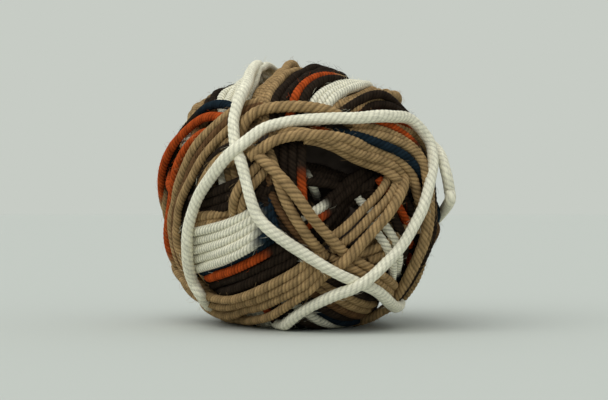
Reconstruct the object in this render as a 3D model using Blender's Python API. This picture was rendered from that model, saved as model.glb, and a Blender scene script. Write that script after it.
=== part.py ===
"""A ball of ragg yarn: a centre-pull skein that lies on its side, as one closed solid.

The ball is a barrel whose winding axis lies nearly along Y. Its turns cross the two ends beside the
pull hole and run down the sides in bundles, and the bundles are raised on the barrel in the order in
which they were wound. Three loose turns lie over them. Metres, +Z up, the front end towards -Y.
"""

import math
from collections import namedtuple

import bmesh
import bpy
import numpy as np
from mathutils import Matrix, Vector

MM = 0.001

# Driving dimensions of the wound form
LOOSE_YARN = 3.6 * MM
HALF_WIDTH = 38.8 * MM
HALF_HEIGHT = 41.2 * MM
HALF_LENGTH = 48.0 * MM
ROUND_POWER = 2.15
BARREL_POWER = 2.5
AXIS_YAW = math.radians(17)

# The ball's centre lies left of the middle of its box, because a loose turn stands off its right
# side, and low enough that its weight presses a flat spot
CENTRE_X = -1.9 * MM
CENTRE_Y = -0.2 * MM
CENTRE_Z = 40.2 * MM

# The recess at the pull hole of each end: its place beside and above the winding axis, its reach
# and its depth, in millimetres
Recess = namedtuple("Recess", "end beside above reach depth")
RECESSES = (
    Recess(end=1, beside=0.0, above=4.0, reach=14.0, depth=9.0),
    Recess(end=-1, beside=2.0, above=1.0, reach=10.0, depth=6.0),
)
RECESS_POWER = 4

# Each bundle is a closed turn in one plane, which passes through a near and a far place on the front
# end and one place on the back end, given beside and above the winding axis. Half is half the
# bundle's width, rise its height, all in millimetres. Layer 0 was wound first.
Bundle = namedtuple("Bundle", "near_x near_z far_x far_z back_x back_z half rise layer")
BUNDLES = {
    "dark turns across the recess": Bundle(-20, 8, 18, 4, 2, 12, 9, 1.6, 0),
    "dark turns up the left": Bundle(-22, -8, -20, 14, 12, 2, 8, 1.6, 0),
    "brown turns up the middle": Bundle(-8, 12, -4, -30, -16, -4, 8, 1.4, 0),
    "right shoulder": Bundle(12, 26, 33, 2, 14, -14, 9, 2.0, 0),
    "right flank, white and rust": Bundle(22, -26, 25, 4, 20, 6, 8, 1.8, 1),
    "left flank, tan": Bundle(-33, -14, -28, 16, -24, -8, 7, 2.0, 1),
    "left shoulder, rust": Bundle(-38, 3, -29, 24, -12, 18, 7, 2.0, 1),
    "top, brown and white": Bundle(-20, 28, 14, 34, 6, -14, 8, 2.0, 1),
    "top, tan": Bundle(-27, 22, -10, 36, -18, -10, 7, 2.2, 1),
    "over the top, tan": Bundle(-22, 21, 20, 20, 8, -22, 6.5, 2.2, 1),
    "floor side, dark": Bundle(-14, -33, 22, -28, -4, 22, 8, 1.8, 1),
    "white bundle at the left": Bundle(-35, -18, -22, -9, -10, 8, 8, 2.2, 1),
    "dark and rust below it": Bundle(-30, -27, -12, -15, 4, -20, 7, 2.0, 1),
    "lower left, tan": Bundle(-26, -33, -6, -20, 18, -16, 7.5, 2.4, 2),
    "top of the recess, tan": Bundle(-24, 15, 19, 12, -2, -10, 6.5, 2.6, 2),
    "right of the recess, tan": Bundle(1, -19, 21, 1, -14, 14, 7.5, 2.6, 2),
    "left of the recess, tan": Bundle(-27, 11, -2, -18, 12, 16, 6.0, 2.6, 3),
}
LAYER_STEP = 0.5
BRIDGING_LAYER = 1
EDGE_WIDTH = 5.0 * MM

# Loose turns are laid out as seen from the front, from a point at eye height before the ball. A front
# place is across and up from the line of sight, at the distance of the front, and lift is the height
# of the turn's centre over the bundles, all in millimetres.
EYE_X = 0.2 * MM
EYE_Y = -540.2 * MM
EYE_Z = 40.0 * MM
FRONT_DISTANCE = 500.0
SIGHT_START = 460.0 * MM
SIGHT_END = 620.0 * MM
SIGHT_STEP = 0.25 * MM
Front = namedtuple("Front", "across up lift")

# A back place is where a line from the ball's centre, with these shares beside, above and along the
# winding axis, meets the surface
Back = namedtuple("Back", "beside above along lift")

LONG_TURN = (
    Front(-14.7, 42.0, 1.2), Front(-17.1, 34.5, 1.2), Front(-19.8, 27.0, 1.2), Front(-20.7, 22.5, 1.2),
    Front(-20.1, 15.0, 1.2), Front(-18.3, 10.5, 1.0), Front(-15.9, 0.0, 1.0), Front(-12.9, -6.0, 1.0),
    Front(-6.3, -12.0, 0.8), Front(4.8, -19.2, 1.2), Front(14.4, -23.7, 1.2), Front(21.3, -26.7, 1.2),
    Front(26.4, -31.2, 1.2), Back(0.66, -0.72, 0.30, 1.2), Back(0.72, -0.66, -0.20, 1.2),
    Back(0.55, -0.48, -0.68, 1.2), Back(0.25, -0.12, -0.96, 1.2), Back(-0.02, 0.32, -0.95, 1.2),
    Back(-0.16, 0.72, -0.68, 1.2), Back(-0.24, 0.95, -0.20, 1.2),
)
BIG_RING = (
    Back(-0.45, -0.86, 0.35, -4.0), Front(-10.2, -37.8, 0.8), Front(-2.7, -35.1, 1.2),
    Front(7.8, -29.4, 2.2), Front(13.8, -26.4, 4.4), Front(18.3, -23.7, 4.4), Front(22.8, -19.8, 2.4),
    Front(28.8, -13.5, 1.2), Front(33.9, -6.0, 1.2), Front(36.6, 0.0, 1.2), Front(38.7, 6.0, 1.2),
    Front(39.6, 11.4, 1.2), Front(37.8, 17.4, 1.2), Front(31.8, 24.0, 1.2), Front(25.8, 24.9, 1.2),
    Front(16.8, 24.6, 1.2), Front(7.8, 24.9, 1.2), Front(-1.2, 24.6, 1.2), Front(-7.2, 23.4, 1.4),
    Front(-12.6, 21.6, 2.6), Front(-19.2, 15.9, 4.4), Front(-26.7, 8.4, 2.4), Front(-30.3, 3.0, 1.2),
    Front(-32.4, -1.5, 1.2), Front(-33.9, -7.5, 1.2), Front(-34.2, -12.0, 1.2),
    Front(-33.9, -18.6, 1.2), Front(-32.4, -24.0, 1.2), Front(-29.7, -28.5, 1.2),
    Back(-0.60, -0.79, -0.15, 0.5), Back(-0.45, -0.86, -0.25, -4.0),
)
SIDE_LOOP = (
    Back(0.26, 0.94, -0.20, -4.0), Back(0.44, 0.89, -0.05, 1.2), Front(30.3, 27.6, 1.6),
    Front(34.8, 24.6, 2.2), Front(37.0, 21.0, 3.0), Front(40.0, 15.0, 4.0), Front(42.4, 9.0, 5.0),
    Front(43.6, 3.0, 5.5), Front(43.4, -0.9, 5.0), Back(0.97, -0.17, 0.10, 4.4),
    Back(0.97, -0.22, -0.10, 2.6), Back(0.93, -0.24, -0.28, 0.6), Back(0.86, -0.24, -0.44, -4.0),
)

# How finely the surfaces are cut
BALL_CUTS = 25
FRONT_LEAN = 0.22
FLAT_SNAP = 0.05 * MM
SHARP_ANGLE = math.radians(50)
ROUTE_CUTS = 24
TUBE_STEP = 6.0 * MM
TUBE_SIDES = 6
TUBE_CLEARANCE = 0.25 * MM
EASING_PASSES = 2


def winding_frame():
    """The place and directions of the ball: columns beside, above and along its winding axis."""
    beside = Vector((math.cos(AXIS_YAW), math.sin(AXIS_YAW), 0))
    along = Vector((math.sin(AXIS_YAW), -math.cos(AXIS_YAW), 0))
    frame = Matrix((beside, (0, 0, 1), along)).transposed().to_4x4()
    frame.translation = (CENTRE_X, CENTRE_Y, CENTRE_Z)
    return frame


def ends_share(beside, above):
    """How much of the barrel's equation a place beside and above the axis uses up."""
    ring = (np.abs(beside) / HALF_WIDTH) ** ROUND_POWER + (np.abs(above) / HALF_HEIGHT) ** ROUND_POWER
    return ring ** (BARREL_POWER / ROUND_POWER)


def barrel_radius(direction):
    """Distance from the centre to the plain barrel, along unit directions."""
    along = (np.abs(direction[:, 2]) / HALF_LENGTH) ** BARREL_POWER
    return (ends_share(direction[:, 0], direction[:, 1]) + along) ** (-1 / BARREL_POWER)


def end_point(beside, above, end):
    """The point of the front end (1) or back end (-1) beside and above the axis, in millimetres."""
    left = max(0.0, 1 - float(ends_share(beside * MM, above * MM)))
    return np.array([beside * MM, above * MM, end * HALF_LENGTH * left ** (1 / BARREL_POWER)])


def recess_depth(surface):
    """How far the surface sinks at the pull holes."""
    depth = np.zeros(len(surface))
    for hole in RECESSES:
        apart = np.hypot(surface[:, 0] - hole.beside * MM, surface[:, 1] - hole.above * MM)
        sunk = hole.depth * MM * np.exp(-((apart / (hole.reach * MM)) ** RECESS_POWER))
        depth += np.where(surface[:, 2] * hole.end > 0, sunk, 0)
    return depth


def bundle_cover(surface, bundle):
    """How far a bundle covers the surface: one on its flat crown, falling to zero at its edges."""
    near = end_point(bundle.near_x, bundle.near_z, 1)
    far = end_point(bundle.far_x, bundle.far_z, 1)
    back = end_point(bundle.back_x, bundle.back_z, -1)
    normal = np.cross(far - near, back - near)
    normal /= np.linalg.norm(normal)
    inward = bundle.half * MM - np.abs((surface - near) @ normal)
    share = np.clip(inward / EDGE_WIDTH, 0, 1)
    return share * share * (3 - 2 * share)


def wound_radius(direction, sunk_share=1.0):
    """Distance from the centre to the wound surface, its bundles and recesses included.

    The first layers sink into the recesses, and the later ones bridge them."""
    radius = barrel_radius(direction)
    surface = direction * radius[:, None]
    sunk = recess_depth(surface) * sunk_share
    level = -sunk
    for bundle in BUNDLES.values():
        cover = bundle_cover(surface, bundle)
        kept = 1 - cover if bundle.layer > BRIDGING_LAYER else 1
        level = np.maximum(level, (bundle.layer * LAYER_STEP + bundle.rise) * MM * cover - sunk * kept)
    return radius + level


def wound_ball(material):
    """The barrel with its bundles, from a cube whose faces are cut finely and blown up.

    The points lean towards the front end, which holds the finest forms."""
    mesh = bmesh.new()
    bmesh.ops.create_cube(mesh, size=2)
    bmesh.ops.subdivide_edges(mesh, edges=mesh.edges[:], cuts=BALL_CUTS, use_grid_fill=True)
    corners = np.array([v.co for v in mesh.verts])
    spread = np.tan(corners * math.pi / 4)
    direction = spread / np.linalg.norm(spread, axis=1)[:, None]
    direction += (0, 0, FRONT_LEAN)
    direction /= np.linalg.norm(direction, axis=1)[:, None]
    frame = winding_frame()
    for vertex, place in zip(mesh.verts, direction * wound_radius(direction)[:, None]):
        vertex.co = frame @ Vector(place)
    bmesh.ops.triangulate(mesh, faces=mesh.faces[:], quad_method="SHORT_EDGE")
    press_flat(mesh)
    return finished("yarn_ball", mesh, material)


def press_flat(mesh):
    """Cuts the ball off at the surface that it lies on and closes the flat spot."""
    everything = mesh.verts[:] + mesh.edges[:] + mesh.faces[:]
    bmesh.ops.bisect_plane(
        mesh, geom=everything, dist=FLAT_SNAP, plane_co=(0, 0, 0), plane_no=(0, 0, -1), clear_outer=True
    )
    rim = [edge for edge in mesh.edges if edge.is_boundary]
    for vertex in {vertex for edge in rim for vertex in edge.verts}:
        vertex.co.z = 0
    bmesh.ops.holes_fill(mesh, edges=rim)
    bmesh.ops.recalc_face_normals(mesh, faces=mesh.faces[:])


def finished(name, mesh, material):
    """An object of the mesh, smooth but for its hard edges."""
    data = bpy.data.meshes.new(name)
    mesh.to_mesh(data)
    mesh.free()
    data.materials.append(material)
    data.shade_smooth()
    data.set_sharp_from_angle(angle=SHARP_ANGLE)
    piece = bpy.data.objects.new(name, data)
    bpy.context.scene.collection.objects.link(piece)
    return piece


def front_point(place):
    """Where the line of sight through a front place meets the given lift over the bundles.

    A line that passes the ball by keeps its nearest point."""
    frame = np.array(winding_frame())
    eye = np.array([EYE_X, EYE_Y, EYE_Z])
    sight = np.array([place.across, FRONT_DISTANCE, place.up])
    sight /= np.linalg.norm(sight)
    steps = np.arange(SIGHT_START, SIGHT_END, SIGHT_STEP)
    line = eye + steps[:, None] * sight
    local = (line - frame[:3, 3]) @ frame[:3, :3]
    distance = np.linalg.norm(local, axis=1)
    height = distance - wound_radius(local / distance[:, None], sunk_share=0)
    inside = np.nonzero(height <= place.lift * MM)[0]
    chosen = inside[0] if len(inside) else int(np.argmin(height))
    return Vector(line[chosen])


def back_point(place):
    """The point at the given lift over the bundles along a back place's line."""
    direction = np.array([[place.beside, place.above, place.along]])
    direction /= np.linalg.norm(direction)
    radius = float(wound_radius(direction, sunk_share=0)[0]) + place.lift * MM
    return winding_frame() @ Vector(direction[0] * radius)


def smooth_route(places, closed):
    """Evenly spaced points of a smooth curve through the places, none under the floor."""
    knots = [front_point(p) if isinstance(p, Front) else back_point(p) for p in places]
    count = len(knots)
    spans = count if closed else count - 1
    fine = []
    for i in range(spans):
        around = [i - 1, i, i + 1, i + 2]
        a, b, c, d = (knots[k % count] if closed else knots[min(max(k, 0), count - 1)] for k in around)
        for share in np.linspace(0, 1, ROUTE_CUTS, endpoint=False):
            bend = (2 * a - 5 * b + 4 * c - d) * share**2 + (3 * b - a - 3 * c + d) * share**3
            fine.append(b + (c - a) * (share / 2) + bend / 2)
    fine.append(knots[0] if closed else knots[-1])
    lengths = [0.0]
    for start, end in zip(fine, fine[1:]):
        lengths.append(lengths[-1] + (end - start).length)
    steps = round(lengths[-1] / TUBE_STEP)
    wanted = np.linspace(0, lengths[-1], steps + 1)[: steps if closed else steps + 1]
    route = np.array([np.interp(wanted, lengths, [p[axis] for p in fine]) for axis in range(3)]).T
    for _ in range(EASING_PASSES):
        before, after = np.roll(route, 1, axis=0), np.roll(route, -1, axis=0)
        eased = (before + 2 * route + after) / 4
        route = eased if closed else np.vstack((route[:1], eased[1:-1], route[-1:]))
    route[:, 2] = np.maximum(route[:, 2], LOOSE_YARN / 2 + TUBE_CLEARANCE)
    return [Vector(p) for p in route]


def loose_turn(name, places, closed, material):
    """A round tube along a loose turn, its ends capped unless the turn is closed."""
    route = smooth_route(places, closed)
    mesh = bmesh.new()
    rings = []
    side = Vector((0, 0, 1))
    for i, point in enumerate(route):
        after = route[(i + 1) % len(route)] if closed or i + 1 < len(route) else point
        before = route[i - 1] if closed or i > 0 else point
        forward = (after - before).normalized()
        side = (side - forward * side.dot(forward)).normalized()
        other = forward.cross(side)
        angles = [2 * math.pi * k / TUBE_SIDES for k in range(TUBE_SIDES)]
        offsets = [(side * math.cos(a) + other * math.sin(a)) * LOOSE_YARN / 2 for a in angles]
        rings.append([mesh.verts.new(point + offset) for offset in offsets])
    pairs = list(zip(rings, rings[1:] + rings[:1])) if closed else list(zip(rings, rings[1:]))
    for start, end in pairs:
        turn = 0
        if start is rings[-1]:
            turn = min(range(TUBE_SIDES), key=lambda k: (end[k].co - start[0].co).length)
        for k in range(TUBE_SIDES):
            n = (k + 1) % TUBE_SIDES
            mesh.faces.new((start[k], start[n], end[(n + turn) % TUBE_SIDES], end[(k + turn) % TUBE_SIDES]))
    if not closed:
        mesh.faces.new(rings[0][::-1])
        mesh.faces.new(rings[-1])
    bmesh.ops.recalc_face_normals(mesh, faces=mesh.faces[:])
    piece = finished(name, mesh, material)
    piece.hide_render = True
    piece.display_type = "WIRE"
    return piece


def wool():
    """Dyed wool: matt, between the tan and the brown of the turns."""
    material = bpy.data.materials.new("ragg_wool")
    material.use_nodes = True
    shader = material.node_tree.nodes["Principled BSDF"]
    shader.inputs["Base Color"].default_value = (0.26, 0.17, 0.09, 1)
    shader.inputs["Roughness"].default_value = 0.9
    shader.inputs["Metallic"].default_value = 0.0
    return material


for old in list(bpy.data.objects):
    bpy.data.objects.remove(old)

ragg_wool = wool()
ball = wound_ball(ragg_wool)
turns = (
    loose_turn("long_turn", LONG_TURN, True, ragg_wool),
    loose_turn("big_ring", BIG_RING, False, ragg_wool),
    loose_turn("side_loop", SIDE_LOOP, False, ragg_wool),
)
for turn in turns:
    join = ball.modifiers.new(turn.name, "BOOLEAN")
    join.operation = "UNION"
    join.solver = "EXACT"
    join.object = turn
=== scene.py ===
# %% [markdown]
# This is a ball of ragg yarn: four-ply wool, dyed in lengths of white, tan, dark brown, navy and rust,
# and wound by machine into a centre-pull ball that lies on its side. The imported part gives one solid
# of the wound form. This lesson winds the yarn itself round that form, turn by turn, so that every
# strand lies on the ones under it.

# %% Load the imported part
import math
from collections import namedtuple

import bpy
import numpy as np
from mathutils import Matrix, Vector


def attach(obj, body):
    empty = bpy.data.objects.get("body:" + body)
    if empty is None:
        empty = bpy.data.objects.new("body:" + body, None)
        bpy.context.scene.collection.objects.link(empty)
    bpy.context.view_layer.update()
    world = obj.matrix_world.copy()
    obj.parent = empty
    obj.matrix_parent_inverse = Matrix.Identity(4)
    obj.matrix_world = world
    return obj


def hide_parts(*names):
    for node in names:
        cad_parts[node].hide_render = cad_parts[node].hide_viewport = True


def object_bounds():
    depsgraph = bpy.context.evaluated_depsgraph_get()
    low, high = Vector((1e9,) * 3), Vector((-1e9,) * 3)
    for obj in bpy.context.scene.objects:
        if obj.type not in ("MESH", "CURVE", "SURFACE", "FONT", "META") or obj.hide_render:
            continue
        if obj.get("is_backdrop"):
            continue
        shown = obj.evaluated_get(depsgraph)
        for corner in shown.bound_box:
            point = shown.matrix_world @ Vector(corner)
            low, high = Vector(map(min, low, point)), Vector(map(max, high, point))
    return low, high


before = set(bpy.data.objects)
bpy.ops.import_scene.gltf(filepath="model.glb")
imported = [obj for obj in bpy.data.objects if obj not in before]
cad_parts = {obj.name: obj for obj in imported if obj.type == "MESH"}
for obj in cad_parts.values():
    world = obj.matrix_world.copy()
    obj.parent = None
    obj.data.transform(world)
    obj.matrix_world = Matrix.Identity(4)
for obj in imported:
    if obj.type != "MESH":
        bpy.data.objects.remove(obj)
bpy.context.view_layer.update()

# %% [markdown]
# The sizes are the part's own, in millimetres, which suit a strand of yarn. The ball is a barrel that
# is a little squarer than an egg, and its winding axis is turned from the line of sight. Points are
# worked out in the ball's own directions, beside, above and along its winding axis, and are turned
# into the room's directions at the end.

# %% The ball's sizes and directions
MM = 0.001
YARN = 2.9
LOOSE_YARN = 3.6
HALF_WIDTH, HALF_HEIGHT, HALF_LENGTH = 38.8, 41.2, 48.0
ROUND_POWER, BARREL_POWER = 2.15, 2.5
AXIS_YAW = math.radians(17)
CENTRE = np.array([-1.9, -0.2, 40.2])
MEAN_RADIUS = 46

BESIDE = (math.cos(AXIS_YAW), math.sin(AXIS_YAW), 0.0)
ABOVE = (0.0, 0.0, 1.0)
ALONG = (math.sin(AXIS_YAW), -math.cos(AXIS_YAW), 0.0)
AXES = np.array([BESIDE, ABOVE, ALONG]).T


def to_ball(point):
    """Points of the room in the ball's own directions, in millimetres."""
    return (point - CENTRE) @ AXES


def to_room(point):
    """Points in the ball's own directions turned into the room's."""
    return point @ AXES.T + CENTRE


def unit(vector):
    """Vectors made one long."""
    return vector / np.linalg.norm(vector, axis=-1, keepdims=True)


def barrel_radius(direction):
    """Distance from the centre to the barrel, along unit directions."""
    ring = (np.abs(direction[:, 0]) / HALF_WIDTH) ** ROUND_POWER
    ring += (np.abs(direction[:, 1]) / HALF_HEIGHT) ** ROUND_POWER
    ends = (np.abs(direction[:, 2]) / HALF_LENGTH) ** BARREL_POWER
    return (ring ** (BARREL_POWER / ROUND_POWER) + ends) ** (-1 / BARREL_POWER)


# %% [markdown]
# The camera stands half a metre in front of the ball, level with its middle. A place in its frame of
# 608 by 400 is a line of sight, and where that line meets the ball is where a strand lies. So the
# front's strands are charted as a knitter would sketch them over a picture, a few places each.

# %% Lines of sight
EYE = np.array([0.2, -540.2, 40.0])
FRAME_WIDTH, FRAME_HEIGHT = 608, 400
FOCAL = 1667.0
BEFORE_BALL = 400.0
HALVINGS = 26


def sight_lines(places):
    """Unit directions of the lines of sight through places of the photograph's frame."""
    places = np.asarray(places, float)
    across = places[:, 0] - FRAME_WIDTH / 2
    up = FRAME_HEIGHT / 2 - places[:, 1]
    return unit(np.column_stack((across, np.full(len(places), FOCAL), up)))


def on_ball(places, level):
    """Where lines of sight meet the ball at a level over the barrel, in the ball's directions.

    A line that passes the ball by keeps its nearest point, at the level's radius."""
    start = to_ball(EYE)
    line = sight_lines(places) @ AXES
    near = np.full(len(line), BEFORE_BALL)
    far = -(line @ start)
    last = far.copy()
    for _ in range(HALVINGS):
        middle = (near + far) / 2
        point = start + line * middle[:, None]
        distance = np.linalg.norm(point, axis=1)
        outside = distance > barrel_radius(point / distance[:, None]) + level
        near = np.where(outside, middle, near)
        far = np.where(outside, far, middle)
    point = start + line * far[:, None]
    nearest = start + line * last[:, None]
    direction = unit(np.where((far >= last - 0.01)[:, None], nearest, point))
    return direction * (barrel_radius(direction) + level)[:, None]


# %% [markdown]
# A strand is drawn as a smooth curve through a few places, cut into even steps. The same two helpers
# serve flat sketches and curves in space.

# %% Smooth curves
STEP = 0.75
CUTS = 16


def smooth(knots):
    """A smooth curve through the knots, in any number of dimensions."""
    knots = np.asarray(knots, float)
    ends = np.vstack((2 * knots[:1] - knots[1:2], knots, 2 * knots[-1:] - knots[-2:-1]))
    share = np.linspace(0, 1, CUTS, endpoint=False)[:, None]
    spans = []
    for a, b, c, d in zip(ends, ends[1:], ends[2:], ends[3:]):
        bend = (2 * a - 5 * b + 4 * c - d) * share**2 + (3 * b - a - 3 * c + d) * share**3
        spans.append(b + (c - a) * share / 2 + bend / 2)
    return np.vstack(spans + [knots[-1:]])


def evenly(points, step, closed=False):
    """Points at even steps along a line of points."""
    if closed:
        points = np.vstack((points, points[:1]))
    reach = np.concatenate(([0], np.cumsum(np.linalg.norm(np.diff(points, axis=0), axis=1))))
    count = max(4, round(reach[-1] / step))
    wanted = np.linspace(0, reach[-1], count + 1)[: count if closed else count + 1]
    return np.column_stack([np.interp(wanted, reach, points[:, k]) for k in range(points.shape[1])])


# %% [markdown]
# Real turns lie where the turns under them let them. To know how high the wound yarn stands, the
# ball is wrapped in a fine grid of directions, six square faces like a globe pressed into a cube.
# Each cell keeps the height of the highest strand laid there so far. It starts as the hidden core,
# which is sunk at the two pull holes.

# %% The height grid
CELLS = 176
CORE_DEPTH = 4.2
END_DEPTH = 3.0
GRID_RADIUS = 45
Hole = namedtuple("Hole", "end beside above reach sunk")
HOLES = (Hole(1, 0.0, 4.0, 13.0, 9.0), Hole(-1, 2.0, 1.0, 10.0, 6.0))


def cell_of(direction):
    """The grid cell of each direction."""
    size = np.abs(direction)
    axis = np.argmax(size, axis=1)
    row = np.arange(len(direction))
    main = direction[row, axis]
    angles = [np.arctan2(direction[row, (axis + k) % 3], np.abs(main)) for k in (1, 2)]
    i, j = (np.clip(((a / (math.pi / 2) + 0.5) * CELLS).astype(int), 0, CELLS - 1) for a in angles)
    return ((axis * 2 + (main < 0)) * CELLS + i) * CELLS + j


def cell_directions():
    """The direction of the middle of every cell."""
    slope = np.tan(((np.arange(CELLS) + 0.5) / CELLS - 0.5) * math.pi / 2)
    first, second = np.meshgrid(slope, slope, indexing="ij")
    faces = []
    for axis in range(3):
        for sign in (1, -1):
            face = np.empty((CELLS, CELLS, 3))
            face[..., axis] = sign
            face[..., (axis + 1) % 3] = first
            face[..., (axis + 2) % 3] = second
            faces.append(face.reshape(-1, 3))
    return unit(np.vstack(faces))


def sunk_at_holes(place):
    """How deep each place of the barrel is sunk at the pull holes."""
    depth = np.zeros(len(place))
    for hole in HOLES:
        apart = np.hypot(place[:, 0] - hole.beside, place[:, 1] - hole.above)
        depth += np.where(place[:, 2] * hole.end > 0, hole.sunk * np.exp(-((apart / hole.reach) ** 4)), 0)
    return depth


def core_radius(direction):
    """The hidden core: the barrel less some layers of yarn, sunk at the pull holes."""
    radius = barrel_radius(direction)
    depth = CORE_DEPTH + END_DEPTH * np.abs(direction[:, 2]) ** 4
    return radius - (depth + sunk_at_holes(direction * radius[:, None]))


directions = cell_directions()
top = core_radius(directions)
print("height grid:", len(top), "cells, about", round(math.pi / 2 * GRID_RADIUS / CELLS, 2), "mm wide")

# %% [markdown]
# Wool gives way. As turns pile up, the ones below are pressed inwards, so the ball keeps the form
# that the winding gives it. After each bundle the grid is averaged over about a centimetre, and
# where that average stands higher than the wanted form, all that lies there moves in by the same
# amount. So the turns keep their order. The wanted form is the barrel, sunk at the pull holes and
# flattened or, where the number is negative, raised in a few soft patches.

# %% Pressing the ball into its form
REACHES = ((0.0, 1), (4.0, 6), (8.0, 12))
HEIGHT_OVER_BARREL = 1.8
HOLLOW_COUNTS = 1.5
Patch = namedtuple("Patch", "beside above along reach sunk")
PATCHES = (
    Patch(0.36, 0.88, 0.20, 16.0, 2.5), Patch(-0.97, 0.20, 0.0, 20.0, 1.8),
    Patch(-0.62, 0.75, 0.1, 12.0, 1.2), Patch(0.70, 0.70, 0.1, 10.0, 2.0),
    Patch(0.05, 0.93, -0.1, 30.0, 0.6), Patch(0.62, -0.6, -0.2, 22.0, 1.2),
    Patch(-0.75, -0.6, -0.1, 22.0, -1.0), Patch(-0.35, 0.85, 0.3, 16.0, 1.5),
)
ASKEW = (0.31, 0.74, 0.59)


def wanted_radius(direction):
    """The mean height of the finished ball: a little over the barrel, sunk at the pull holes."""
    radius = barrel_radius(direction)
    place = direction * radius[:, None]
    level = HEIGHT_OVER_BARREL - sunk_at_holes(place)
    for patch in PATCHES:
        middle = unit(np.array([[patch.beside, patch.above, patch.along]]))
        apart = np.linalg.norm(place - middle * barrel_radius(middle), axis=1)
        level -= patch.sunk * np.exp(-((apart / patch.reach) ** 2))
    return radius + level


def cells_around():
    """For every cell, itself and the cells of two rings of places round it."""
    first = unit(np.cross(directions, ASKEW))
    second = np.cross(directions, first)
    around = []
    for reach, count in REACHES:
        for angle in np.arange(count) * 2 * math.pi / count:
            shift = first * (reach * math.cos(angle)) + second * (reach * math.sin(angle))
            around.append(cell_of(unit(directions * GRID_RADIUS + shift)))
    return np.array(around)


around = cells_around()
wanted = wanted_radius(directions)


def press(fill_out=False):
    """Presses all that is laid into the wanted form, or also fills it out where it falls short."""
    excess = top - wanted
    if not fill_out:
        excess = np.maximum(excess, -HOLLOW_COUNTS)
    for _ in range(2):
        excess = excess[around].mean(axis=0)
    if not fill_out:
        excess = np.maximum(excess, 0)
    np.subtract(top, excess, out=top)
    for strand in strands:
        sunk = excess[cell_of(strand.path)]
        strand.path[:] *= (1 - sunk / strand.radius)[:, None]
        strand.radius[:] -= sunk


# %% [markdown]
# Laying a strand: at each step along it, its underside has to clear whatever is under it, so it
# goes up by what it touches. Wool under light tension doesn't follow every dip, so the line is then
# pulled taut over short spans, and at last eased. The floor stops it from below.

# %% Laying a strand
Strand = namedtuple("Strand", "path radius closed thick stops group span")
strands = []
PRESSED = 0.44
SPANS = (14, 10, 7, 4, 2, 1)
TAUT = 60
OFFSETS = np.linspace(-1, 1, 9)
ROUND_TOP = np.sqrt(1 - np.minimum(0.98, np.abs(OFFSETS)) ** 2)
STAMP_OFFSETS = np.linspace(-1, 1, 11)
STAMP_TOP = np.sqrt(1 - STAMP_OFFSETS**2 * 0.98)


def shifted(values, k, closed):
    """The values k steps on, held at the ends of an open strand."""
    if closed:
        return np.roll(values, -k, axis=0)
    index = np.clip(np.arange(len(values)) + k, 0, len(values) - 1)
    return values[index]


def eased(values, passes, closed=False):
    """Values averaged with their neighbours, so many times."""
    for _ in range(passes):
        values = (shifted(values, 1, closed) + 2 * values + shifted(values, -1, closed)) / 4
    return values


def sideways(path, closed):
    """Unit directions to the right of a path, as seen from outside."""
    forward = unit(shifted(path, 1, closed) - shifted(path, -1, closed))
    return unit(np.cross(forward, unit(path)))


def height_under(path, right, half):
    """The radius at which a strand's middle clears all that is under it."""
    need = np.zeros(len(path))
    for offset, crown in zip(OFFSETS, ROUND_TOP):
        ground = top[cell_of(path + right * (offset * half))]
        need = np.maximum(need, ground + half * crown)
    return need


def above_floor(direction, height, half):
    """Heights from the centre, kept so small that a strand doesn't sink into the floor."""
    fall = -(direction @ AXES.T)[:, 2]
    floor = np.where(fall > 0.05, (CENTRE[2] - half) / np.maximum(fall, 0.05), 1e3)
    return np.minimum(height, floor)


def settle(path, closed, thick):
    """The path at the height where a strand comes to rest."""
    half = thick * PRESSED
    direction = unit(path)
    height = height_under(path, sideways(path, closed), half)
    for k in SPANS:
        ahead, behind = shifted(direction, k, closed), shifted(direction, -k, closed)
        half_angle = np.arccos(np.clip((ahead * behind).sum(1), -1, 1)) / 2
        chord = 2 * np.cos(half_angle) / (
            1 / shifted(height, k, closed) + 1 / shifted(height, -k, closed)
        )
        height = np.maximum(height, chord)
    return direction * above_floor(direction, eased(height, TAUT, closed), half)[:, None]


def stamp(path, closed, thick):
    """Raises the grid to the top of a strand that lies there."""
    half = thick * PRESSED
    right = sideways(path, closed)
    for along in (0, 0.5):
        spot = path * (1 - along) + shifted(path, 1, closed) * along
        radius = np.linalg.norm(spot, axis=1)
        for offset, crown in zip(STAMP_OFFSETS, STAMP_TOP):
            np.maximum.at(top, cell_of(spot + right * (offset * half)), radius + half * crown)


def put_down(rest, closed, thick, stops, group, span=None):
    """Puts a settled strand on the ball and remembers it."""
    stamp(rest, closed, thick)
    radius = np.linalg.norm(rest, axis=1)
    strands.append(Strand(rest, radius, closed, thick, stops, group, span or (0, len(rest))))


# %% [markdown]
# The dye: the yarn was dyed in lengths before it was wound, so a colour runs along a strand for
# a few centimetres and gives way to the next over some millimetres. Neighbours in a bundle are
# successive turns, so their colours change at nearly the same place, but never quite.

# %% The dyes
DYES = {
    "white": "#EDE9D2", "tan": "#A98C62", "brown": "#2D241C",
    "navy": "#1C2932", "rust": "#B54E20", "umber": "#6A4E33",
}


def linear(hex_colour):
    """An sRGB hex colour as the linear values that a shader takes."""
    parts = [int(hex_colour[k : k + 2], 16) / 255 for k in (1, 3, 5)]
    return [p / 12.92 if p <= 0.04045 else ((p + 0.055) / 1.055) ** 2.4 for p in parts]


REPEAT = (("brown", 62), ("rust", 34), ("brown", 48), ("tan", 120), ("white", 84), ("tan", 70),
          ("navy", 42), ("brown", 76), ("tan", 96), ("umber", 40), ("white", 66), ("navy", 30))
FADE = 6.0


def repeat_stops(start, length, wander):
    """Colour changes along a strand that starts at this place of the dye's repeat."""
    total = sum(run for _, run in REPEAT)
    place, k = -(start % total), 0
    stops = []
    while place < length:
        dye, run = REPEAT[k % len(REPEAT)]
        if place + run > 0:
            stops.append((place + wander.uniform(-3, 3), dye))
        place += run
        k += 1
    return stops


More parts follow.
